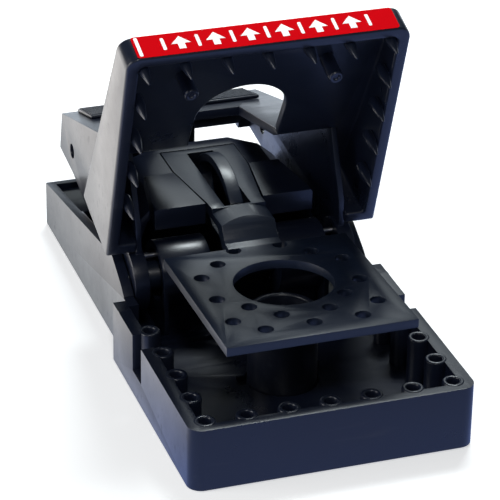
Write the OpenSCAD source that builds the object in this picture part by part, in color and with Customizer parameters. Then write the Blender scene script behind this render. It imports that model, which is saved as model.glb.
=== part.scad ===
// Snap mouse trap, drawn set: jaw up, lever down. Front at -Y, +Z up, mm.

/* [Base] */
// half width of the tray
tray_half = 25; // [20:0.5:35]
// length of the front tray
tray_len = 45.5; // [35:0.5:60]
// height of the tray rim
rim_z = 11.4; // [8:0.1:16]
// wall thickness of the tray sides
wall = 2.3; // [1.5:0.1:3]
// thickness of the tray floor
floor_t = 2.3; // [1.5:0.1:3]
// half width of the rear part of the base
rear_half = 22.75; // [20:0.25:30]
// length of the whole base
base_len = 100; // [80:1:140]
// height of the side walls above the hinge
cheek_z = 16.2; // [13:0.1:20]
// height of the side walls at the rear end
heel_z = 8.6; // [6:0.1:14]

/* [Hinge] */
// distance of the hinge pin from the tray front
pin_y = 52.13; // [45:0.01:65]
// height of the hinge pin
pin_z = 12.1; // [10:0.1:16]
// radius of the hinge pin
pin_r = 1.2; // [1:0.05:2]
// angle the jaw stands open when the trap is set
open_deg = 71.9; // [60:0.1:85]
// radius of the spring drums
drum_r = 6.2; // [5.5:0.1:7]
// mean radius of the spring coils
coil_r = 4; // [3.6:0.1:4.4]
// radius of the spring wire
wire_r = 0.55; // [0.4:0.05:0.6]

/* [Jaw] */
// height of the jaw rim when it is closed
jaw_rim_z = 11.7; // [10:0.1:14]
// height of the jaw top at the front when it is closed
jaw_top_z = 17.4; // [15:0.1:20]
// rise of the jaw top per mm towards the hinge
jaw_slope = 0.218; // [0.1:0.001:0.4]
// half width of the window in the jaw top
window_half = 8.3; // [6:0.1:12]
// height of the roots the teeth stand on
tooth_root = 2.4; // [1:0.1:4]
// height of the ends of the pusher posts, jaw closed
post_z = 12; // [10:0.1:15]
// reach of the teeth below their posts
tooth_len = 3.4; // [2:0.1:5]

/* [Lever] */
// half width of the lever
lever_half = 19.4; // [17:0.1:20]
// thickness of the lever top
lever_t = 1.9; // [1.4:0.1:2.5]
// thickness of the lever sides
side_t = 1; // [0.8:0.1:2]
// radius of the hole in the lever sides
anchor_r = 1.4; // [0.8:0.1:2]

/* [Trigger] */
// half width of the trigger plate
plate_half = 16.73; // [12:0.01:20]
// thickness of the trigger plate
plate_t = 1.6; // [1:0.1:2.5]
// radius of the large hole in the plate
plate_hole_r = 8.65; // [6:0.05:12]
// pitch of the small holes in the plate
hole_pitch = 4.265; // [3:0.005:6]
// distance of the trigger pin from the tray front
trig_y = 78; // [70:0.1:90]
// height of the trigger pin
trig_z = 16.5; // [12:0.1:20]

/* [Bait cup] */
// distance of the cup from the tray front
cup_y = 27; // [20:0.5:35]
// outer radius of the cup
cup_r = 6.1; // [4:0.1:8]
// height of the cup rim
cup_z = 16; // [10:0.5:18]

/* [Hidden] */
$fn = 64;
// half of the overall length, so that the origin is under the middle
mid_y = 50.8;
// sockets and teeth share these places: [x, y]
tooth_x = tray_half - 3.27;
tooth_y = 3.05;
tooth_at = concat(
    [for (i = [0 : 6]) [-tooth_x + i * tooth_x / 3, tooth_y]],
    [for (s = [-1, 1]) for (j = [1 : 4]) [s * tooth_x, tooth_y + 7.78 * j]]);
// small holes of the plate: [steps across, steps back], mirrored
plate_holes = [[0, 0], [2, 0], [1, 1], [3, 1], [2, 2], [3, 3], [3, 5], [2, 6], [1, 7]];
plate_front = 7.2;
plate_back = 42.3;
plate_z = 21.8;
plate_tilt = 2.19;
inner_y = 2;
inner_half = tray_half - wall;
well_half = 20.9;
hood_front = 54;
hood_back = 79;
// where the jaw top turns into the lever, jaw closed
corner_y = 31.5;

function wall_z(y) = cheek_z - (y - 54) * (cheek_z - heel_z) / (base_len - 54);
function jaw_top(y) = jaw_top_z + jaw_slope * y;
function jaw_ceiling(y) = jaw_top(y) - 2 - 0.006 * y;
function lever_top(y) = 22.4 + 0.3 * (101.5 - y);

// outline in (y, z) drawn out from x0 to x1
module across(x0, x1) {
    translate([x0, 0, 0])
        rotate([90, 0, 90])
            linear_extrude(x1 - x0) children();
}

// the same outline on both sides
module both(x0, x1) {
    across(x0, x1) children();
    across(-x1, -x0) children();
}

module rod_x(y, z, r, x0, x1) {
    translate([x0, y, z])
        rotate([0, 90, 0]) cylinder(r = r, h = x1 - x0);
}

module box(lo, hi) {
    translate(lo) cube(hi - lo);
}

// rectangle with two rounded front corners
module plan(half, y0, y1, r) {
    translate([-half, y0 + r]) square([2 * half, y1 - y0 - r]);
    translate([r - half, y0]) square([2 * (half - r), r + 1]);
    for (s = [-1, 1])
        translate([s * (half - r), y0 + r]) circle(r = r);
}

module centred() {
    translate([0, -mid_y, 0]) children();
}

// turns what is drawn closed into the set position
module set_up() {
    centred()
        translate([0, pin_y, pin_z])
            rotate([-open_deg, 0, 0])
                translate([0, -pin_y, -pin_z]) children();
}

module base_solid() {
    linear_extrude(rim_z) plan(tray_half, 0, tray_len, 2.5);
    box([-rear_half, tray_len - 1, 0], [rear_half, 47, rim_z]);
    across(-rear_half, rear_half) polygon([
        [46.4, 0], [46.4, 11.7], [48.2, 13.1], [50.7, 14.5], [53.8, 16.1],
        [54.4, wall_z(54.4)], [base_len, heel_z], [base_len, 0]]);
}

// space above the floor of the tray
module tray_space() {
    translate([0, 0, floor_t])
        linear_extrude(20) plan(inner_half, inner_y, 43.4, 1);
}

// space beside, under and around the hinge
module well_space() {
    box([-well_half, 45.6, 2], [well_half, 83, 30]);
    box([-well_half, 43, 3.2], [well_half, 47, 30]);
}

module deck_space() {
    across(-21.2, 21.2) polygon([
        [80, wall_z(80) - 1.2], [98.2, wall_z(98.2) - 1.2], [98.2, 30], [80, 30]]);
    for (i = [-2 : 1])
        across(i * 10.5 + 0.6, i * 10.5 + 9.9) polygon([
            [84.6, -1], [84.6, 7.7], [97.8, 5.4], [97.8, -1]]);
}

module base_tray() {
    color([0.05, 0.06, 0.08]) centred() {
        difference() {
            base_solid();
            tray_space();
            well_space();
            deck_space();
            // finger notches in both sides
            for (s = [-1, 1])
                box([min(s * 22, s * 26), 28.3, 4.5], [max(s * 22, s * 26), 33.4, 20]);
            // sockets cut a little into the walls
            for (p = tooth_at)
                translate([p[0], p[1], floor_t]) cylinder(r = 1.1, h = 12);
            // seat of the hinge pin, closed outside
            rod_x(pin_y, pin_z, pin_r + 0.05, -22, 22);
            // seat of the bait cup, open below
            translate([0, cup_y, -1]) cylinder(r = 8.7, h = 2.4);
            translate([0, cup_y, -1]) cylinder(r = cup_r + 0.3, h = 5);
            for (a = [80, 170])
                translate([0, cup_y, -1]) rotate(a) translate([0, -1.6, 0]) cube([7.9, 3.2, 5]);
        }
        // pillars for the trigger pin
        for (s = [-1, 1])
            difference() {
                box([s * 8.4 - 1, 75.2, 1.9], [s * 8.4 + 1, 81, 19]);
                rod_x(trig_y, trig_z, 1.05, -10, 10);
            }
        // ears behind the notches are rounded up over the rim
        for (s = [-1, 1])
            intersection() {
                rod_x(41.8, rim_z - 3, 3.1, min(s * 22.7, s * 25), max(s * 22.7, s * 25));
                box([-26, 38, rim_z - 3], [26, 44.9, rim_z + 0.1]);
            }
    }
}

module tooth_sockets() {
    color([0.05, 0.06, 0.08]) centred()
        for (p = tooth_at)
            difference() {
                intersection() {
                    translate([p[0], p[1], floor_t]) cylinder(r = 1.9, h = 9.2);
                    tray_space();
                }
                translate([p[0], p[1], 0]) cylinder(r = 1.1, h = 20);
            }
}

module spring_drums() {
    color([0.05, 0.06, 0.08]) centred()
        for (s = [-1, 1])
            difference() {
                union() {
                    rod_x(pin_y, pin_z, drum_r, s * 10.85 - 4.55, s * 10.85 + 4.55);
                    box([s * 10.85 - 3.5, pin_y - 2.4, 2], [s * 10.85 + 3.5, pin_y + 2.4, 8]);
                    box([s * 15 - 0.4, 46, 2], [s * 15 + 0.4, 58, pin_z]);
                }
                rod_x(pin_y, pin_z, 5, s * 11.1 - 3.6, s * 11.1 + 3.6);
                rod_x(pin_y, pin_z, 4.8, s * 15 - 2, s * 15 + 2);
                rod_x(pin_y, pin_z, 2.7, s * 10.85 - 6, s * 10.85 + 6);
                rod_x(pin_y, pin_z - coil_r, 0.6, s * 7.5 - 2, s * 7.5 + 2);
            }
}

module spring_hood() {
    color([0.05, 0.06, 0.08]) centred()
        difference() {
            union() {
                hood_part(hood_back - 19, hood_back) hood_outline(0);
                intersection() {
                    hood_part(hood_front, 67.5) block_outline(0);
                    linear_extrude(40) polygon([
                        [-14.8, hood_front], [14.8, hood_front], [12.8, 67.5], [-12.8, 67.5]]);
                }
            }
            hood_part(hood_back - 20, hood_back - 1.5) hood_outline(1.5);
            hood_part(hood_front + 1.6, 60.5) block_outline(2.6);
            hood_part(hood_back - 2, hood_back + 1)
                polygon([
                    [-12.5, 0], [12.5, 0], [10.3, 19.2], [6, 21.6], [-6, 21.6], [-10.3, 19.2]]);
            // slot for the trigger arm
            linear_extrude(40) polygon([
                [-5.22, 53], [5.22, 53], [7.22, 68], [7.22, 76.2], [-7.22, 76.2],
                [-7.22, 68]]);
        }
}

// outline in (x, z) drawn out from y0 to y1
module hood_part(y0, y1) {
    translate([0, y1, 0])
        rotate([90, 0, 0]) linear_extrude(y1 - y0) children();
}

module hood_outline(t) {
    polygon([
        [-17.2 + t, 2 - t], [-17.2 + t, 15 - t / 3], [-15.6 + t * 0.8, 19.3 - t * 0.6],
        [-12.8 + t * 0.5, 21.7 - t * 0.9], [-6.8 + t * 0.2, 23.8 - t],
        [6.8 - t * 0.2, 23.8 - t], [12.8 - t * 0.5, 21.7 - t * 0.9],
        [15.6 - t * 0.8, 19.3 - t * 0.6], [17.2 - t, 15 - t / 3], [17.2 - t, 2 - t]]);
}

// the raised front of the hood
module block_outline(t) {
    polygon([
        [-14.8 + t, 19.8 - t], [-14.8 + t, 23.4 - t], [-14.4 + t, 23.8 - t],
        [14.4 - t, 23.8 - t], [14.8 - t, 23.4 - t], [14.8 - t, 19.8 - t]]);
}

module hinge_pin() {
    color([0.6, 0.6, 0.62]) centred()
        rod_x(pin_y, pin_z, pin_r, -21.9, 21.9);
}

module trigger_pin() {
    color([0.6, 0.6, 0.62]) centred()
        rod_x(trig_y, trig_z, 1, -9.3, 9.3);
}

// close-wound turns with a straight tang into the drum
module coil_springs() {
    color([0.6, 0.6, 0.62]) centred()
        for (s = [-1, 1]) {
            for (k = [0 : 5])
                translate([s * (8.15 + k * 1.09), pin_y, pin_z])
                    rotate([0, 90, 0])
                        rotate_extrude($fn = 48)
                            translate([coil_r, 0]) circle(r = wire_r, $fn = 16);
            rod_x(pin_y, pin_z - coil_r, wire_r - 0.02, s * 7.4 - 0.8, s * 7.4 + 0.8);
        }
}

module bait_cup() {
    color([0.05, 0.06, 0.08]) centred()
        translate([0, cup_y, 0]) {
            difference() {
                union() {
                    translate([0, 0, 0.1]) cylinder(r = 8.4, h = 1.1);
                    cylinder(r = cup_r, h = cup_z);
                }
                translate([0, 0, 2.4]) cylinder(r = cup_r - 1.1, h = cup_z);
                box([-4.5, -0.8, -1], [4.5, 0.8, 1]);
            }
            // bayonet lugs, above the floor
            for (a = [20, 110])
                rotate(a) intersection() {
                    difference() {
                        translate([0, 0, 2.6]) cylinder(r = 7.5, h = 1.2);
                        cylinder(r = cup_r - 0.5, h = 9);
                    }
                    box([5.1, -1.4, 0], [8.9, 1.4, 9]);
                }
        }
}

module trigger_plate() {
    color([0.05, 0.06, 0.08]) centred()
        translate([0, plate_front, plate_z])
            rotate([-plate_tilt, 0, 0])
                translate([0, 0, -plate_t])
                    linear_extrude(plate_t) difference() {
                        translate([-plate_half, 0])
                            square([2 * plate_half, plate_back - plate_front]);
                        translate([0, 20]) circle(r = plate_hole_r);
                        for (s = [-1, 1])
                            for (h = plate_holes)
                                translate([s * h[0] * hole_pitch, 4.47 + h[1] * hole_pitch])
                                    circle(r = 1.35, $fn = 24);
                    }
}

module trigger_arm() {
    color([0.05, 0.06, 0.08]) centred() {
        difference() {
            across(-7, 7) polygon([
                [plate_back + 0.01, 18.87], [plate_back + 0.01, 20.4], [44.2, 20.5],
                [44.9, 21], [46.2, 23.1], [47.3, 24], [50, 23.95], [54, 23.75],
                [75.9, 23.75], [76.1, 19.2], [75, 18], [73, 21.3], [54, 21.8],
                [48.5, 21.6], [45.8, 18.8]]);
            for (s = [-1, 1])
                linear_extrude(40) polygon([
                    [s * 9, 40], [s * 4.9, 40], [s * 4.9, 46], [s * 5, 54], [s * 7, 68],
                    [s * 9, 68]]);
            // arched crown of the neck
            difference() {
                box([-6, 43, 21], [6, 51.5, 30]);
                translate([0, 42, 10.2]) rotate([-90, 0, 0]) cylinder(r = 13.75, h = 12);
            }
            // slot for the sear hook
            box([-2.5, 52.1, 0], [2.5, 74.5, 40]);
            rod_x(trig_y, trig_z, 3.3, -9, 9);
        }
        difference() {
            rod_x(trig_y, trig_z, 3.3, -7, 7);
            rod_x(trig_y, trig_z, 1.05, -9, 9);
        }
    }
}

module jaw_shell() {
    color([0.05, 0.06, 0.08]) set_up()
        difference() {
            intersection() {
                linear_extrude(40) plan(tray_half, 0, tray_len, 2.5);
                across(-26, 26) polygon([
                    [-1, jaw_rim_z], [-1, jaw_top(-1)], [46, jaw_top(46)], [46, jaw_rim_z]]);
            }
            intersection() {
                linear_extrude(40) plan(inner_half, inner_y, 43.3, 1);
                across(-26, 26) polygon([
                    [0, 0], [0, jaw_ceiling(0)], [46, jaw_ceiling(46)], [46, 0]]);
            }
            // space of the lever between the two arms
            box([-lever_half, corner_y, 0], [lever_half, 50, 40]);
            window_closed();
        }
}

module window_closed() {
    translate([0, 0, 10]) linear_extrude(30) {
        translate([0, 23.8]) circle(r = window_half);
        translate([-window_half, 23.8]) square([2 * window_half, 12]);
    }
}

// cones on short roots, each webbed to the wall beside it
module jaw_teeth() {
    color([0.05, 0.06, 0.08]) set_up()
        intersection() {
            linear_extrude(40) plan(inner_half, inner_y, 43.3, 1);
            union()
                for (p = tooth_at) {
                    translate([p[0], p[1], 12.2]) {
                        cylinder(r = 0.95, h = tooth_root, $fn = 24);
                        translate([0, 0, -tooth_len])
                            cylinder(r1 = 0.15, r2 = 0.95, h = tooth_len + 0.01, $fn = 24);
                    }
                    if (p[1] < 4)
                        box([p[0] - 0.6, 1, 12.25], [p[0] + 0.6, p[1], 12.15 + tooth_root]);
                    else
                        box([min(p[0], sign(p[0]) * 24), p[1] - 0.6, 12.25],
                            [max(p[0], sign(p[0]) * 24), p[1] + 0.6, 12.15 + tooth_root]);
                }
        }
}

module pusher_posts() {
    color([0.05, 0.06, 0.08]) set_up()
        for (s = [-1, 1])
            translate([s * 12.85, 9.9, post_z])
                cylinder(r = 1.3, h = jaw_ceiling(8.6) - post_z);
}

module lever_side() {
    polygon([
        [57.22, 35.4], [99.8, lever_top(99.8)], [101.6, 15], [92.3, 13.8], [84.6, 11.8],
        [70, 8.6], [56, 7], [pin_y, pin_z], [49.9, 18.4], [50.2, 22.8], [55.42, 34.88]]);
    translate([pin_y, pin_z]) circle(r = 5.9);
}

module setting_lever() {
    color([0.05, 0.06, 0.08]) centred()
        difference() {
            union() {
                both(lever_half - side_t, lever_half) lever_side();
                both(17.9, 20.6) translate([pin_y, pin_z]) circle(r = 5.9);
                difference() {
                    across(-18.6, 18.6) polygon([
                        [57.22, 35.4], [99.8, lever_top(99.8)], [101.6, 15],
                        [99.9, 15], [98.3, lever_top(98.3) - lever_t],
                        [57.6, lever_top(57.6) - lever_t], [55.42, 34.88]]);
                    // window through the top
                    linear_extrude(50) polygon([
                        [-window_half, 50], [window_half, 50], [window_half + 0.1, 58],
                        [10.4, 83], [-10.4, 83], [-window_half - 0.1, 58]]);
                    box([-16, 97, 10], [16, 110, 16.2]);
                }
                // heel that rests on the base
                box([-6.6, 98.2, heel_z + 0.9], [6.6, 99.9, 18]);
            }
            rod_x(92.7, 18.2, anchor_r, -30, 30);
            rod_x(pin_y, pin_z, pin_r + 0.05, -30, 30);
            for (s = [-1, 1])
                rod_x(pin_y, pin_z + coil_r, 0.6, s * 18 - 1.4, s * 18 + 1.4);
        }
}

module grip_pad() {
    color([0.05, 0.06, 0.08]) centred()
        across(-16.5, 16.5) polygon([
            [89, lever_top(89)], [89.2, lever_top(89.2) + 0.7], [99, lever_top(99) + 0.7],
            [99.4, lever_top(99.4)]]);
}

function arc(r, a0, a1) = [for (k = [0 : 24])
    [62.5 + r * cos(a0 + (a1 - a0) * k / 24), 14 + r * sin(a0 + (a1 - a0) * k / 24)]];

module sear_hook() {
    color([0.05, 0.06, 0.08]) centred() {
        difference() {
            across(-1.25, 1.25) polygon(concat(
                arc(13.8, 135.6, 40),
                [[73.7, 20.5], [71.8, 16.2], [64, 11], [54, 9.5], [50.6, 12.1], [54, 14.4],
                    [63, 14.4], [69.4, 18.4], [71, 21]],
                arc(12.3, 48, 130), [[53.7, 23.6]]));
            rod_x(pin_y, pin_z, 2.5, -9, 9);
        }
        difference() {
            rod_x(pin_y, pin_z, 2.6, -17.8, 17.8);
            rod_x(pin_y, pin_z, pin_r + 0.05, -30, 30);
        }
    }
}

// moving ends of the springs, bent into the lever
module spring_hooks() {
    color([0.6, 0.6, 0.62]) centred()
        for (s = [-1, 1])
            rod_x(pin_y, pin_z + coil_r, wire_r - 0.05, s * 16.75 - 2.45, s * 16.75 + 2.45);
}

module warning_label() {
    color([0.8, 0.05, 0.05]) set_up()
        box([-23.1, -0.15, 11.95], [22.9, 0, 17.2]);
}

base_tray();
tooth_sockets();
spring_drums();
spring_hood();
hinge_pin();
trigger_pin();
coil_springs();
bait_cup();
trigger_plate();
trigger_arm();
jaw_shell();
jaw_teeth();
pusher_posts();
setting_lever();
grip_pad();
sear_hook();
spring_hooks();
warning_label();
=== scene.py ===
import math

import bmesh
import bpy
from mathutils import Matrix, Vector


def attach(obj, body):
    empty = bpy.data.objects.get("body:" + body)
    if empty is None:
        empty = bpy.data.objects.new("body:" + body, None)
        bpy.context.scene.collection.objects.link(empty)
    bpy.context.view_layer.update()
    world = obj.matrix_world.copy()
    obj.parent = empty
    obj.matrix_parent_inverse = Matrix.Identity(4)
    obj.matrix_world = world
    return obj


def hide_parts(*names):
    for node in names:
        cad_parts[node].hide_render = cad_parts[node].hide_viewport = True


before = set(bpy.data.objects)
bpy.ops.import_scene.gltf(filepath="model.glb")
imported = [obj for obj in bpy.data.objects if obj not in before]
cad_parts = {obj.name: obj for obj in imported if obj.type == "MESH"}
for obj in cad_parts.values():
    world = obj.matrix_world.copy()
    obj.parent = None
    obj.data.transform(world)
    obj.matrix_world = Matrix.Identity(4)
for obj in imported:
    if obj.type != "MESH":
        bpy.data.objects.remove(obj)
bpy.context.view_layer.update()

mm = 0.001
midY = 50.8
pinY = 52.13
pinZ = 12.1
openAngle = math.radians(71.9)


# a point in millimetres, counted from the tray front, in the row frame
def place(x, y, z):
    return Vector((x, y - midY, z)) * mm


# what is built closed, turned into the set position about the hinge pin
def setUp():
    hinge = place(0, pinY, pinZ)
    turn = Matrix.Rotation(-openAngle, 4, "X")
    return Matrix.Translation(hinge) @ turn @ Matrix.Translation(-hinge)


def jawTop(y):
    return 17.4 + 0.218 * y


def jawCeiling(y):
    return jawTop(y) - 2 - 0.006 * y


def leverTop(y):
    return 22.4 + 0.3 * (101.5 - y)


def addNode(tree, kind, at, **values):
    node = tree.nodes.new(kind)
    node.location = at
    for key, value in values.items():
        setattr(node, key, value)
    return node


def setInput(node, name, value):
    node.inputs[name].default_value = value


def socketGroup(name, inputs, outputs):
    group = bpy.data.node_groups.new(name, "ShaderNodeTree")
    for label, kind, value in inputs:
        made = group.interface.new_socket(name=label, in_out="INPUT", socket_type=kind)
        if value is not None:
            made.default_value = value
    for label, kind in outputs:
        group.interface.new_socket(name=label, in_out="OUTPUT", socket_type=kind)
    source = addNode(group, "NodeGroupInput", (-900, 0))
    sink = addNode(group, "NodeGroupOutput", (900, 0))
    return group, source, sink


# moulded plastic: fine grain, flow marks, scuffs and a bump
def plasticEffect():
    group, source, sink = socketGroup(
        "MouldedSurface",
        [("Base", "NodeSocketColor", (0.02, 0.025, 0.035, 1)),
         ("Scuff", "NodeSocketFloat", 0.5),
         ("Roughness", "NodeSocketFloat", 0.3),
         ("Grain", "NodeSocketFloat", 1.0)],
        [("Color", "NodeSocketColor"), ("Roughness", "NodeSocketFloat"),
         ("Normal", "NodeSocketVector")])
    coords = addNode(group, "ShaderNodeTexCoord", (-900, -300))
    grain = addNode(group, "ShaderNodeTexNoise", (-650, -300))
    setInput(grain, "Scale", 2600.0)
    setInput(grain, "Detail", 3.0)
    flow = addNode(group, "ShaderNodeTexNoise", (-650, 0))
    setInput(flow, "Scale", 70.0)
    setInput(flow, "Detail", 6.0)
    setInput(flow, "Roughness", 0.65)
    scratchMap = addNode(group, "ShaderNodeMapping", (-850, 300))
    setInput(scratchMap, "Scale", (60.0, 900.0, 500.0))
    setInput(scratchMap, "Rotation", (0.3, 0.5, 0.9))
    scratch = addNode(group, "ShaderNodeTexNoise", (-650, 300))
    setInput(scratch, "Scale", 1.0)
    setInput(scratch, "Detail", 4.0)
    scratchMask = addNode(group, "ShaderNodeMapRange", (-450, 300))
    setInput(scratchMask, "From Min", 0.62)
    setInput(scratchMask, "From Max", 0.74)
    scuffed = addNode(group, "ShaderNodeMath", (-250, 300), operation="MULTIPLY")
    flowRange = addNode(group, "ShaderNodeMapRange", (-450, 0))
    setInput(flowRange, "From Min", 0.3)
    setInput(flowRange, "From Max", 0.7)
    setInput(flowRange, "To Min", -0.05)
    setInput(flowRange, "To Max", 0.09)
    addRough = addNode(group, "ShaderNodeMath", (0, 0), operation="ADD")
    moreRough = addNode(group, "ShaderNodeMath", (200, 60), operation="MULTIPLY_ADD")
    setInput(moreRough, 1, 0.22)
    tint = addNode(group, "ShaderNodeMix", (200, 320), data_type="RGBA")
    tint.inputs[7].default_value = (0.05, 0.055, 0.07, 1)
    tintAmount = addNode(group, "ShaderNodeMath", (0, 320), operation="MULTIPLY")
    setInput(tintAmount, 1, 0.35)
    grainHeight = addNode(group, "ShaderNodeMath", (-250, -300), operation="MULTIPLY")
    height = addNode(group, "ShaderNodeMath", (0, -300), operation="MULTIPLY_ADD")
    setInput(height, 1, 2.2)
    bump = addNode(group, "ShaderNodeBump", (300, -300))
    setInput(bump, "Strength", 0.32)
    setInput(bump, "Distance", 0.00004)
    link = group.links.new
    link(coords.outputs["Object"], grain.inputs["Vector"])
    link(coords.outputs["Object"], flow.inputs["Vector"])
    link(coords.outputs["Object"], scratchMap.inputs["Vector"])
    link(scratchMap.outputs[0], scratch.inputs["Vector"])
    link(scratch.outputs["Fac"], scratchMask.inputs["Value"])
    link(scratchMask.outputs["Result"], scuffed.inputs[0])
    link(source.outputs["Scuff"], scuffed.inputs[1])
    link(flow.outputs["Fac"], flowRange.inputs["Value"])
    link(flowRange.outputs["Result"], addRough.inputs[0])
    link(source.outputs["Roughness"], addRough.inputs[1])
    link(scuffed.outputs[0], moreRough.inputs[0])
    link(addRough.outputs[0], moreRough.inputs[2])
    link(scuffed.outputs[0], tintAmount.inputs[0])
    link(tintAmount.outputs[0], tint.inputs[0])
    link(source.outputs["Base"], tint.inputs[6])
    link(grain.outputs["Fac"], grainHeight.inputs[0])
    link(source.outputs["Grain"], grainHeight.inputs[1])
    link(flow.outputs["Fac"], height.inputs[0])
    link(grainHeight.outputs[0], height.inputs[2])
    link(height.outputs[0], bump.inputs["Height"])
    link(tint.outputs[2], sink.inputs["Color"])
    link(moreRough.outputs[0], sink.inputs["Roughness"])
    link(bump.outputs["Normal"], sink.inputs["Normal"])
    return group


# drawn wire and rod: lengthwise streaks and a little tarnish
def metalEffect():
    group, source, sink = socketGroup(
        "DrawnMetal",
        [("Base", "NodeSocketColor", (0.6, 0.6, 0.62, 1)), ("Roughness", "NodeSocketFloat", 0.25)],
        [("Color", "NodeSocketColor"), ("Roughness", "NodeSocketFloat"),
         ("Normal", "NodeSocketVector")])
    coords = addNode(group, "ShaderNodeTexCoord", (-900, 0))
    streakMap = addNode(group, "ShaderNodeMapping", (-700, 0))
    setInput(streakMap, "Scale", (300.0, 2500.0, 2500.0))
    streak = addNode(group, "ShaderNodeTexNoise", (-500, 0))
    setInput(streak, "Scale", 1.0)
    tarnish = addNode(group, "ShaderNodeTexNoise", (-500, 300))
    setInput(tarnish, "Scale", 350.0)
    setInput(tarnish, "Detail", 5.0)
    stain = addNode(group, "ShaderNodeMapRange", (-250, 300))
    setInput(stain, "From Min", 0.45)
    setInput(stain, "From Max", 0.75)
    setInput(stain, "To Max", 0.6)
    mix = addNode(group, "ShaderNodeMix", (0, 300), data_type="RGBA")
    mix.inputs[7].default_value = (0.16, 0.14, 0.12, 1)
    rough = addNode(group, "ShaderNodeMath", (0, 0), operation="MULTIPLY_ADD")
    setInput(rough, 1, 0.3)
    bump = addNode(group, "ShaderNodeBump", (200, -250))
    setInput(bump, "Strength", 0.3)
    setInput(bump, "Distance", 0.00002)
    link = group.links.new
    link(coords.outputs["Object"], streakMap.inputs["Vector"])
    link(coords.outputs["Object"], tarnish.inputs["Vector"])
    link(streakMap.outputs[0], streak.inputs["Vector"])
    link(tarnish.outputs["Fac"], stain.inputs["Value"])
    link(stain.outputs["Result"], mix.inputs[0])
    link(source.outputs["Base"], mix.inputs[6])
    link(stain.outputs["Result"], rough.inputs[0])
    link(source.outputs["Roughness"], rough.inputs[2])
    link(streak.outputs["Fac"], bump.inputs["Height"])
    link(mix.outputs[2], sink.inputs["Color"])
    link(rough.outputs[0], sink.inputs["Roughness"])
    link(bump.outputs["Normal"], sink.inputs["Normal"])
    return group


def newMaterial(name):
    material = bpy.data.materials.new(name)
    material.use_nodes = True
    tree = material.node_tree
    return material, tree, tree.nodes["Principled BSDF"]


def plasticMaterial(name, color, roughness, scuff, grain, effect, shine=0.5):
    material, tree, shader = newMaterial(name)
    surface = addNode(tree, "ShaderNodeGroup", (-300, 0), node_tree=effect)
    setInput(surface, "Base", (*color, 1))
    setInput(surface, "Roughness", roughness)
    setInput(surface, "Scuff", scuff)
    setInput(surface, "Grain", grain)
    tree.links.new(surface.outputs["Color"], shader.inputs["Base Color"])
    tree.links.new(surface.outputs["Roughness"], shader.inputs["Roughness"])
    tree.links.new(surface.outputs["Normal"], shader.inputs["Normal"])
    setInput(shader, "IOR", 1.5)
    setInput(shader, "Specular IOR Level", shine)
    return material


def metalMaterial(name, color, roughness, effect):
    material, tree, shader = newMaterial(name)
    surface = addNode(tree, "ShaderNodeGroup", (-300, 0), node_tree=effect)
    setInput(surface, "Base", (*color, 1))
    setInput(surface, "Roughness", roughness)
    tree.links.new(surface.outputs["Color"], shader.inputs["Base Color"])
    tree.links.new(surface.outputs["Roughness"], shader.inputs["Roughness"])
    tree.links.new(surface.outputs["Normal"], shader.inputs["Normal"])
    setInput(shader, "Metallic", 1.0)
    return material


plastic = plasticEffect()
metal = metalEffect()
blackPlastic = plasticMaterial("BlackPlastic", (0.006, 0.009, 0.021), 0.3, 0.5, 1.0, plastic)
triggerPlastic = plasticMaterial("TriggerPlastic", (0.007, 0.012, 0.026), 0.36, 0.6, 1.3, plastic)
cupPlastic = plasticMaterial("CupPlastic", (0.006, 0.008, 0.016), 0.34, 0.4, 1.0, plastic)
redFilm = plasticMaterial("RedFilm", (0.8, 0.004, 0.009), 0.3, 0.2, 0.3, plastic, 0.0)
whiteInk = plasticMaterial("WhiteInk", (0.95, 0.93, 0.92), 0.35, 0.2, 0.3, plastic, 0.3)
rodSteel = metalMaterial("RodSteel", (0.62, 0.62, 0.64), 0.24, metal)
springWire = metalMaterial("SpringWire", (0.42, 0.42, 0.44), 0.3, metal)
print("materials ready")


def newObject(name, mesh, material):
    made = bpy.data.objects.new(name, mesh)
    bpy.context.scene.collection.objects.link(made)
    made.data.materials.clear()
    made.data.materials.append(material)
    return made


def smoothByAngle(mesh, degrees):
    mesh.shade_smooth()
    mesh.set_sharp_from_angle(angle=math.radians(degrees))


def fromBmesh(name, work, material, degrees=35):
    bmesh.ops.recalc_face_normals(work, faces=work.faces)
    mesh = bpy.data.meshes.new(name)
    work.to_mesh(mesh)
    work.free()
    smoothByAngle(mesh, degrees)
    return newObject(name, mesh, material)


def bakeModifiers(made):
    graph = bpy.context.evaluated_depsgraph_get()
    mesh = bpy.data.meshes.new_from_object(made.evaluated_get(graph))
    made.modifiers.clear()
    made.data = mesh
    return made


# a CAD node with its moulded edges rounded off
def roundedCopy(spec):
    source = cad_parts[spec["node"]]
    work = bmesh.new()
    work.from_mesh(source.data)
    bmesh.ops.remove_doubles(work, verts=work.verts, dist=0.002 * mm)
    bmesh.ops.dissolve_limit(work, angle_limit=math.radians(1.0), verts=work.verts, edges=work.edges)
    bmesh.ops.recalc_face_normals(work, faces=work.faces)
    mesh = bpy.data.meshes.new(spec["name"])
    work.to_mesh(mesh)
    work.free()
    made = newObject(spec["name"], mesh, spec["material"])
    bevel = made.modifiers.new("edge", "BEVEL")
    bevel.width = spec["edge"] * mm
    bevel.segments = 3
    bevel.limit_method = "ANGLE"
    bevel.angle_limit = math.radians(32)
    bevel.use_clamp_overlap = True
    bevel.miter_outer = "MITER_ARC"
    bakeModifiers(made)
    smoothByAngle(made.data, 40)
    return made


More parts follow.
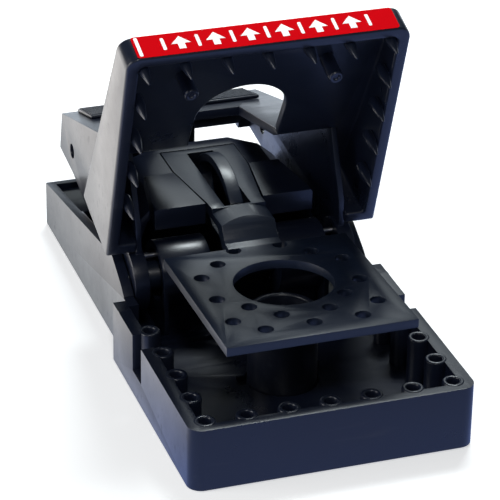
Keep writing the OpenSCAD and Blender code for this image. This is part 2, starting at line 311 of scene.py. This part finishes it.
# rings of (radius, height) turned about a vertical line through the origin
def lathe(work, profile, steps, matrix):
    rings = []
    for radius, height in profile:
        if radius < 1e-6:
            rings.append([work.verts.new(matrix @ Vector((0, 0, height * mm)))])
            continue
        ring = []
        for k in range(steps):
            turn = 2 * math.pi * k / steps
            ring.append(work.verts.new(matrix @ Vector((
                radius * mm * math.cos(turn), radius * mm * math.sin(turn), height * mm))))
        rings.append(ring)
    for low, high in zip(rings, rings[1:]):
        for k in range(steps):
            n = (k + 1) % steps
            if len(low) == 1:
                work.faces.new((low[0], high[n], high[k]))
            elif len(high) == 1:
                work.faces.new((low[k], low[n], high[0]))
            else:
                work.faces.new((low[k], low[n], high[n], high[k]))


# round wire along a path of points
def sweep(work, path, radius, sides=12):
    rings = []
    up = Vector((1, 0, 0))
    for i, point in enumerate(path):
        ahead = path[min(i + 1, len(path) - 1)] - path[max(i - 1, 0)]
        ahead.normalize()
        across = up - ahead * up.dot(ahead)
        if across.length < 1e-3:
            across = Vector((0, 1, 0)) - ahead * ahead.y
        across.normalize()
        up = across
        other = ahead.cross(across)
        rings.append([work.verts.new(point + (across * math.cos(2 * math.pi * k / sides)
                                               + other * math.sin(2 * math.pi * k / sides)) * radius)
                      for k in range(sides)])
    for low, high in zip(rings, rings[1:]):
        for k in range(sides):
            n = (k + 1) % sides
            work.faces.new((low[k], low[n], high[n], high[k]))
    work.faces.new(rings[0][::-1])
    work.faces.new(rings[-1])


toothX = 21.73
innerHalf = 22.7
toothPlaces = [(-toothX + i * toothX / 3, 3.05) for i in range(7)]
toothPlaces += [(side * toothX, 3.05 + 7.78 * j) for side in (-1, 1) for j in range(1, 5)]


# mouldings taken from the CAD nodes
mouldings = [
    dict(node="base_tray", name="BaseTray", body="base",
         material=blackPlastic, slot="black_plastic", edge=0.35),
    dict(node="spring_drums", name="SpringDrums", body="base",
         material=blackPlastic, slot="black_plastic", edge=0.25),
    dict(node="spring_hood", name="SpringHood", body="base",
         material=blackPlastic, slot="black_plastic", edge=0.3),
    dict(node="jaw_shell", name="JawShell", body="jaw",
         material=blackPlastic, slot="black_plastic", edge=0.45),
    dict(node="setting_lever", name="SettingLever", body="jaw",
         material=blackPlastic, slot="black_plastic", edge=0.4),
    dict(node="grip_pad", name="GripPad", body="jaw",
         material=blackPlastic, slot="black_plastic", edge=0.25),
    dict(node="sear_hook", name="SearHook", body="jaw",
         material=triggerPlastic, slot="black_plastic", edge=0.25),
    dict(node="trigger_arm", name="TriggerArm", body="trigger",
         material=triggerPlastic, slot="trigger_plastic", edge=0.3),
    dict(node="trigger_plate", name="TriggerPlate", body="trigger",
         material=triggerPlastic, slot="trigger_plastic", edge=0.18),
]
for spec in mouldings:
    made = roundedCopy(spec)
    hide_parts(spec["node"])
    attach(made, spec["body"])
    print("moulding", spec["name"], len(made.data.polygons))


# sockets, teeth, posts and the bait cup are turned
def socketPieces():
    work = bmesh.new()
    profile = [(1.1, 2.4), (1.1, 11.2), (1.2, 11.42), (1.36, 11.5),
               (1.62, 11.5), (1.8, 11.42), (1.9, 11.2), (1.9, 2.3)]
    for x, y in toothPlaces:
        lathe(work, profile, 28, Matrix.Translation(place(x, y, 0)))
    return fromBmesh("ToothSockets", work, blackPlastic, 50)


def boxBetween(work, low, high, matrix):
    for v in bmesh.ops.create_cube(work, size=1)["verts"]:
        v.co = matrix @ place(*(low[i] + (high[i] - low[i]) * (v.co[i] + 0.5) for i in range(3)))


def toothPieces():
    work = bmesh.new()
    profile = [(0, 8.8), (0.1, 8.83), (0.2, 8.98), (0.58, 10.4), (0.9, 11.9),
               (0.95, 12.3), (0.95, 14.3), (0.8, 14.55), (0, 14.58)]
    for x, y in toothPlaces:
        lathe(work, profile, 24, setUp() @ Matrix.Translation(place(x, y, 0)))
        wall = math.copysign(innerHalf, x)
        if y < 4:
            boxBetween(work, (x - 0.58, 2, 12.3), (x + 0.58, y, 14.5), setUp())
        else:
            boxBetween(work, (min(x, wall), y - 0.58, 12.3), (max(x, wall), y + 0.58, 14.5), setUp())
    return fromBmesh("JawTeeth", work, blackPlastic, 50)


def postPieces():
    work = bmesh.new()
    root = jawCeiling(8.6) - 0.02
    profile = [(0, 12.4), (0.45, 12.4), (0.6, 12.12), (0.8, 12.02), (1.08, 12.06), (1.25, 12.25), (1.3, 12.6),
               (1.3, root), (0, root)]
    for side in (-1, 1):
        lathe(work, profile, 32, setUp() @ Matrix.Translation(place(side * 12.85, 9.9, 0)))
    return fromBmesh("PusherPosts", work, blackPlastic, 40)


def cupPiece():
    work = bmesh.new()
    profile = [(0, 0.15), (7.9, 0.12), (8.3, 0.25), (8.4, 0.5), (8.4, 1.05), (8.25, 1.2),
               (6.1, 1.2), (6.1, 15.6), (6.0, 15.88), (5.75, 16.0), (5.3, 16.0), (5.1, 15.9),
               (5.0, 15.6), (5.0, 3.0), (4.7, 2.5), (4.2, 2.4), (0, 2.4)]
    lathe(work, profile, 72, Matrix.Translation(place(0, 27, 0)))
    centre = place(0, 27, 0)
    for angle in (20, 110):
        turn = Matrix.Rotation(math.radians(angle), 4, "Z")
        around = Matrix.Translation(centre) @ turn @ Matrix.Translation(-centre)
        boxBetween(work, (5.9, 27 - 1.3, 2.65), (7.3, 27 + 1.3, 3.75), around)
    return fromBmesh("BaitCup", work, cupPlastic, 45)


turned = [
    dict(make=socketPieces, node="tooth_sockets", body="base", slot="black_plastic"),
    dict(make=toothPieces, node="jaw_teeth", body="jaw", slot="black_plastic"),
    dict(make=postPieces, node="pusher_posts", body="jaw", slot="black_plastic"),
    dict(make=cupPiece, node="bait_cup", body="cup", slot="cup_plastic"),
]
for spec in turned:
    made = spec["make"]()
    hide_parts(spec["node"])
    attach(made, spec["body"])
    print("turned", made.name, len(made.data.polygons))


# pins and springs
def pinPiece(name, y, z, radius, half, material):
    work = bmesh.new()
    profile = [(0, -half), (radius - 0.15, -half), (radius, -half + 0.15),
               (radius, half - 0.15), (radius - 0.15, half), (0, half)]
    lathe(work, profile, 36, Matrix.Translation(place(0, y, z)) @ Matrix.Rotation(math.pi / 2, 4, "Y"))
    return fromBmesh(name, work, material, 40)


coilTurns = 5
coilRadius = 4
coilStart = 8.15
coilSpan = 5.45
stepsPerTurn = 24


def springPieces():
    work = bmesh.new()
    for side in (-1, 1):
        tang = [place(side * x, pinY, pinZ - coilRadius) for x in (6.62, 7.6)]
        coil = []
        steps = coilTurns * stepsPerTurn
        for k in range(steps + 1):
            turn = -math.pi / 2 + 2 * math.pi * k / stepsPerTurn
            coil.append(place(side * (coilStart + coilSpan * k / steps),
                              pinY + coilRadius * math.cos(turn), pinZ + coilRadius * math.sin(turn)))
        path = tang + coil
        sweep(work, path, 0.54 * mm)
    return fromBmesh("CoilSprings", work, springWire, 60)


def springEnds():
    work = bmesh.new()
    for side in (-1, 1):
        path = [place(side * (14.35 + 4.8 * k / 4), pinY, pinZ + coilRadius) for k in range(5)]
        sweep(work, path, 0.49 * mm)
    return fromBmesh("SpringHooks", work, springWire, 60)


metals = [
    (pinPiece("HingePin", pinY, pinZ, 1.2, 21.9, rodSteel), "hinge_pin", "base", "steel_rod"),
    (pinPiece("TriggerPin", 78, 16.5, 1.0, 9.3, rodSteel), "trigger_pin", "base", "steel_rod"),
    (springPieces(), "coil_springs", "base", "spring_wire"),
    (springEnds(), "spring_hooks", "jaw", "spring_wire"),
]
for made, node, body, slotName in metals:
    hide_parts(node)
    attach(made, body)
print("pins and springs", len(metals))


# the label: red film with plain white arrows and end marks
def flatShape(work, points, depth, matrix, thick):
    low = [work.verts.new(matrix @ place(x, depth, z)) for x, z in points]
    high = [work.verts.new(matrix @ place(x, depth - thick, z)) for x, z in points]
    work.faces.new(low)
    work.faces.new(high[::-1])
    for k in range(len(points)):
        n = (k + 1) % len(points)
        work.faces.new((low[k], low[n], high[n], high[k]))


def roundedOutline(x0, x1, z0, z1, radius, steps=6):
    points = []
    for cx, cz, start in ((x1 - radius, z0 + radius, -90), (x1 - radius, z1 - radius, 0),
                          (x0 + radius, z1 - radius, 90), (x0 + radius, z0 + radius, 180)):
        for k in range(steps + 1):
            turn = math.radians(start + 90 * k / steps)
            points.append((cx + radius * math.cos(turn), cz + radius * math.sin(turn)))
    return points


def labelFilm():
    work = bmesh.new()
    flatShape(work, roundedOutline(-23.05, 22.85, 12.0, 17.15, 0.5), -0.02, setUp(), 0.09)
    return fromBmesh("WarningLabel", work, redFilm, 30)


def labelInk():
    work = bmesh.new()
    for x in (-15, -9, -3, 3, 9, 15):
        flatShape(work, [(x - 1.7, 14.4), (x - 0.6, 14.4), (x - 0.6, 13.1), (x + 0.6, 13.1), (x + 0.6, 14.4),
                         (x + 1.7, 14.4), (x, 16.2)], -0.115, setUp(), 0.03)
    for x in (-18, -12, -6, 0, 6, 12, 18):
        flatShape(work, roundedOutline(x - 0.3, x + 0.3, 13.2, 16.1, 0.2), -0.115, setUp(), 0.03)
    flatShape(work, roundedOutline(-22.6, -22.0, 12.3, 16.9, 0.2), -0.115, setUp(), 0.03)
    return fromBmesh("LabelInk", work, whiteInk, 30)


film = labelFilm()
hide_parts("warning_label")
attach(film, "jaw")
ink = labelInk()
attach(ink, "jaw")
print("label ready")


# ribs on the grip, spread with geometry nodes
def ribGroup():
    group = bpy.data.node_groups.new("GripRibs", "GeometryNodeTree")
    face = group.interface
    face.new_socket(name="Geometry", in_out="OUTPUT", socket_type="NodeSocketGeometry")
    for label, kind in (("Count", "NodeSocketInt"), ("Pitch", "NodeSocketVector"),
                        ("Start", "NodeSocketVector"), ("Size", "NodeSocketVector"),
                        ("Tilt", "NodeSocketVector"), ("Material", "NodeSocketMaterial")):
        face.new_socket(name=label, in_out="INPUT", socket_type=kind)
    source = addNode(group, "NodeGroupInput", (-900, 0))
    sink = addNode(group, "NodeGroupOutput", (700, 0))
    row = addNode(group, "GeometryNodeMeshLine", (-600, 200))
    rib = addNode(group, "GeometryNodeMeshCube", (-600, -200))
    spread = addNode(group, "GeometryNodeInstanceOnPoints", (-200, 100))
    real = addNode(group, "GeometryNodeRealizeInstances", (100, 100))
    paint = addNode(group, "GeometryNodeSetMaterial", (400, 100))
    link = group.links.new
    link(source.outputs["Count"], row.inputs["Count"])
    link(source.outputs["Start"], row.inputs["Start Location"])
    link(source.outputs["Pitch"], row.inputs["Offset"])
    link(source.outputs["Size"], rib.inputs["Size"])
    link(source.outputs["Tilt"], spread.inputs["Rotation"])
    link(row.outputs["Mesh"], spread.inputs["Points"])
    link(rib.outputs["Mesh"], spread.inputs["Instance"])
    link(spread.outputs["Instances"], real.inputs["Geometry"])
    link(real.outputs["Geometry"], paint.inputs["Geometry"])
    link(source.outputs["Material"], paint.inputs["Material"])
    link(paint.outputs["Geometry"], sink.inputs["Geometry"])
    return group


def ribRow(name, group, values, edge):
    made = newObject(name, bpy.data.meshes.new(name), values["Material"])
    grow = made.modifiers.new("ribs", "NODES")
    grow.node_group = group
    for item in group.interface.items_tree:
        if item.in_out == "INPUT" and item.name in values:
            grow[item.identifier] = values[item.name]
    bakeModifiers(made)
    bevel = made.modifiers.new("edge", "BEVEL")
    bevel.width = edge * mm
    bevel.segments = 2
    bakeModifiers(made)
    smoothByAngle(made.data, 40)
    return made


leverTilt = math.atan(0.3)
gripRibs = ribRow("GripRibs", ribGroup(), {
    "Count": 8,
    "Pitch": Vector((0, 1.15, -0.345)) * mm,
    "Start": place(0, 90.1, leverTop(90.1) + 0.62),
    "Size": Vector((32.6, 0.5, 0.5)) * mm,
    "Tilt": Vector((-leverTilt, 0, 0)),
    "Material": blackPlastic,
}, 0.15)
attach(gripRibs, "jaw")
print("grip ribs", len(gripRibs.data.polygons))


# floor that glows only in reflections, a painted reflection: bright behind and to the left, dim blue in
# front; to the camera it stays an even pale floor
def floorPiece():
    reach, drop = 3.0, -0.0002
    mesh = bpy.data.meshes.new("Floor")
    corners = [(-reach, -reach, drop), (reach, -reach, drop),
               (reach, reach, drop), (-reach, reach, drop)]
    mesh.from_pydata(corners, [], [(0, 1, 2, 3)])
    floor = newObject("Floor", mesh, whiteInk)
    material, tree, shader = newMaterial("PaleFloor")
    coords = addNode(tree, "ShaderNodeTexCoord", (-1100, 0))
    noise = addNode(tree, "ShaderNodeTexNoise", (-500, 0))
    setInput(noise, "Scale", 40.0)
    ramp = addNode(tree, "ShaderNodeMapRange", (-300, 0))
    setInput(ramp, "To Min", 0.86)
    setInput(ramp, "To Max", 0.9)
    split = addNode(tree, "ShaderNodeSeparateXYZ", (-900, -400))
    beside = addNode(tree, "ShaderNodeMapRange", (-700, -300))
    setInput(beside, "From Min", -0.0185)
    setInput(beside, "From Max", -0.0205)
    notFront = addNode(tree, "ShaderNodeMapRange", (-700, -100))
    setInput(notFront, "From Min", -0.05)
    setInput(notFront, "From Max", 0.015)
    leftSide = addNode(tree, "ShaderNodeMath", (-450, -200), operation="MULTIPLY")
    behind = addNode(tree, "ShaderNodeMapRange", (-700, -600))
    setInput(behind, "From Min", 0.03)
    setInput(behind, "From Max", 0.15)
    farMix = addNode(tree, "ShaderNodeMix", (-450, -500), data_type="RGBA")
    farMix.inputs[6].default_value = (0.3, 0.42, 0.95, 1)
    farMix.inputs[7].default_value = (1.4, 1.55, 1.7, 1)
    nearMix = addNode(tree, "ShaderNodeMix", (-250, -400), data_type="RGBA")
    outward = addNode(tree, "ShaderNodeMapRange", (-700, 100))
    setInput(outward, "From Min", -0.022)
    setInput(outward, "From Max", -0.05)
    leftMix = addNode(tree, "ShaderNodeMix", (-450, 100), data_type="RGBA")
    leftMix.inputs[6].default_value = (0.95, 1.0, 1.05, 1)
    leftMix.inputs[7].default_value = (3.1, 3.0, 2.9, 1)
    # painted reflection: a glow seen only by glossy rays, standing in for light reflected onto the trap's
    # faces
    paintedReflectionGlow = addNode(tree, "ShaderNodeEmission", (0, -300))
    lifted = addNode(tree, "ShaderNodeEmission", (0, -150))
    setInput(lifted, "Strength", 0.5)
    bright = addNode(tree, "ShaderNodeAddShader", (300, 0))
    path = addNode(tree, "ShaderNodeLightPath", (0, 400))
    choose = addNode(tree, "ShaderNodeMixShader", (500, 0))
    link = tree.links.new
    link(coords.outputs["Object"], noise.inputs["Vector"])
    link(noise.outputs["Fac"], ramp.inputs["Value"])
    link(ramp.outputs["Result"], shader.inputs["Base Color"])
    link(coords.outputs["Object"], split.inputs["Vector"])
    link(split.outputs["X"], beside.inputs["Value"])
    link(split.outputs["Y"], behind.inputs["Value"])
    link(behind.outputs["Result"], farMix.inputs[0])
    link(farMix.outputs[2], nearMix.inputs[6])
    link(split.outputs["Y"], notFront.inputs["Value"])
    link(beside.outputs["Result"], leftSide.inputs[0])
    link(notFront.outputs["Result"], leftSide.inputs[1])
    link(leftSide.outputs[0], nearMix.inputs[0])
    link(split.outputs["X"], outward.inputs["Value"])
    link(outward.outputs["Result"], leftMix.inputs[0])
    link(leftMix.outputs[2], nearMix.inputs[7])
    link(nearMix.outputs[2], paintedReflectionGlow.inputs["Color"])
    link(shader.outputs[0], bright.inputs[0])
    link(lifted.outputs[0], bright.inputs[1])
    link(path.outputs["Is Glossy Ray"], choose.inputs[0])
    link(bright.outputs[0], choose.inputs[1])
    link(paintedReflectionGlow.outputs[0], choose.inputs[2])
    side = addNode(tree, "ShaderNodeNewGeometry", (500, 300))
    clear = addNode(tree, "ShaderNodeBsdfTransparent", (500, -200))
    below = addNode(tree, "ShaderNodeMixShader", (700, 0))  # seen through from underneath
    link(side.outputs["Backfacing"], below.inputs[0])
    link(choose.outputs[0], below.inputs[1])
    link(clear.outputs[0], below.inputs[2])
    link(below.outputs[0], tree.nodes["Material Output"].inputs[0])
    setInput(shader, "Roughness", 0.8)
    setInput(shader, "Specular IOR Level", 0.1)
    floor.data.materials[0] = material
    return floor


def softLight(name, at, target, size, power, color=(1, 1, 1)):
    data = bpy.data.lights.new(name, "AREA")
    data.shape = "RECTANGLE"
    data.size, data.size_y = size
    data.energy = power
    data.color = color
    lamp = bpy.data.objects.new(name, data)
    bpy.context.scene.collection.objects.link(lamp)
    lamp.location = at
    lamp.rotation_euler = (Vector(target) - Vector(at)).to_track_quat("-Z", "Y").to_euler()
    return lamp


def whiteWorld():
    world = bpy.data.worlds.new("Studio")
    bpy.context.scene.world = world
    world.use_nodes = True
    tree = world.node_tree
    tree.nodes.clear()
    out = addNode(tree, "ShaderNodeOutputWorld", (400, 0))
    mix = addNode(tree, "ShaderNodeMixShader", (200, 0))
    seen = addNode(tree, "ShaderNodeBackground", (0, -100))
    setInput(seen, "Color", (1, 1, 1, 1))
    setInput(seen, "Strength", 1.0)
    lighting = addNode(tree, "ShaderNodeBackground", (0, 100))
    setInput(lighting, "Color", (0.75, 0.88, 1, 1))
    setInput(lighting, "Strength", 0.1)
    path = addNode(tree, "ShaderNodeLightPath", (-200, 200))
    tree.links.new(path.outputs["Is Camera Ray"], mix.inputs[0])
    tree.links.new(lighting.outputs[0], mix.inputs[1])
    tree.links.new(seen.outputs[0], mix.inputs[2])
    tree.links.new(mix.outputs[0], out.inputs[0])


def viewCamera():
    data = bpy.data.cameras.new("Camera")
    data.sensor_width = 36
    data.lens = 196.5
    data.clip_start = 0.01
    data.clip_end = 20
    cam = bpy.data.objects.new("Camera", data)
    bpy.context.scene.collection.objects.link(cam)
    az, el, roll = math.radians(-19.006), math.radians(27.75), math.radians(0.985)
    back = Vector((math.sin(az) * math.cos(el), -math.cos(az) * math.cos(el), math.sin(el)))
    flat = (-back).cross(Vector((0, 0, 1))).normalized()
    rise = flat.cross(-back)
    right = flat * math.cos(roll) + rise * math.sin(roll)
    top = rise * math.cos(roll) - flat * math.sin(roll)
    turn = Matrix((right, top, back)).transposed().to_4x4()
    cam.matrix_world = Matrix.Translation(place(-138.36, -356.62, 241.7)) @ turn
    bpy.context.scene.camera = cam


floorPiece()
whiteWorld()
softLight("BackBox", (0.24, 0.66, 0.42), (0, 0, 0.02), (0.5, 0.3), 0.6, (0.88, 0.97, 1))
softLight("TopBox", (0.15, 0.26, 0.54), (0, 0, 0.02), (0.2, 0.12), 2.4, (0.9, 0.98, 1))
softLight("FrontSpark", (-0.12, -0.42, 0.5), (0, 0, 0.02), (0.07, 0.07), 0.7)
softLight("LeftBox", (-0.5, -0.02, 0.22), (0, 0, 0.02), (0.3, 0.25), 1.2)
viewCamera()
bpy.context.scene.view_settings.view_transform = "Standard"
print("stage ready")
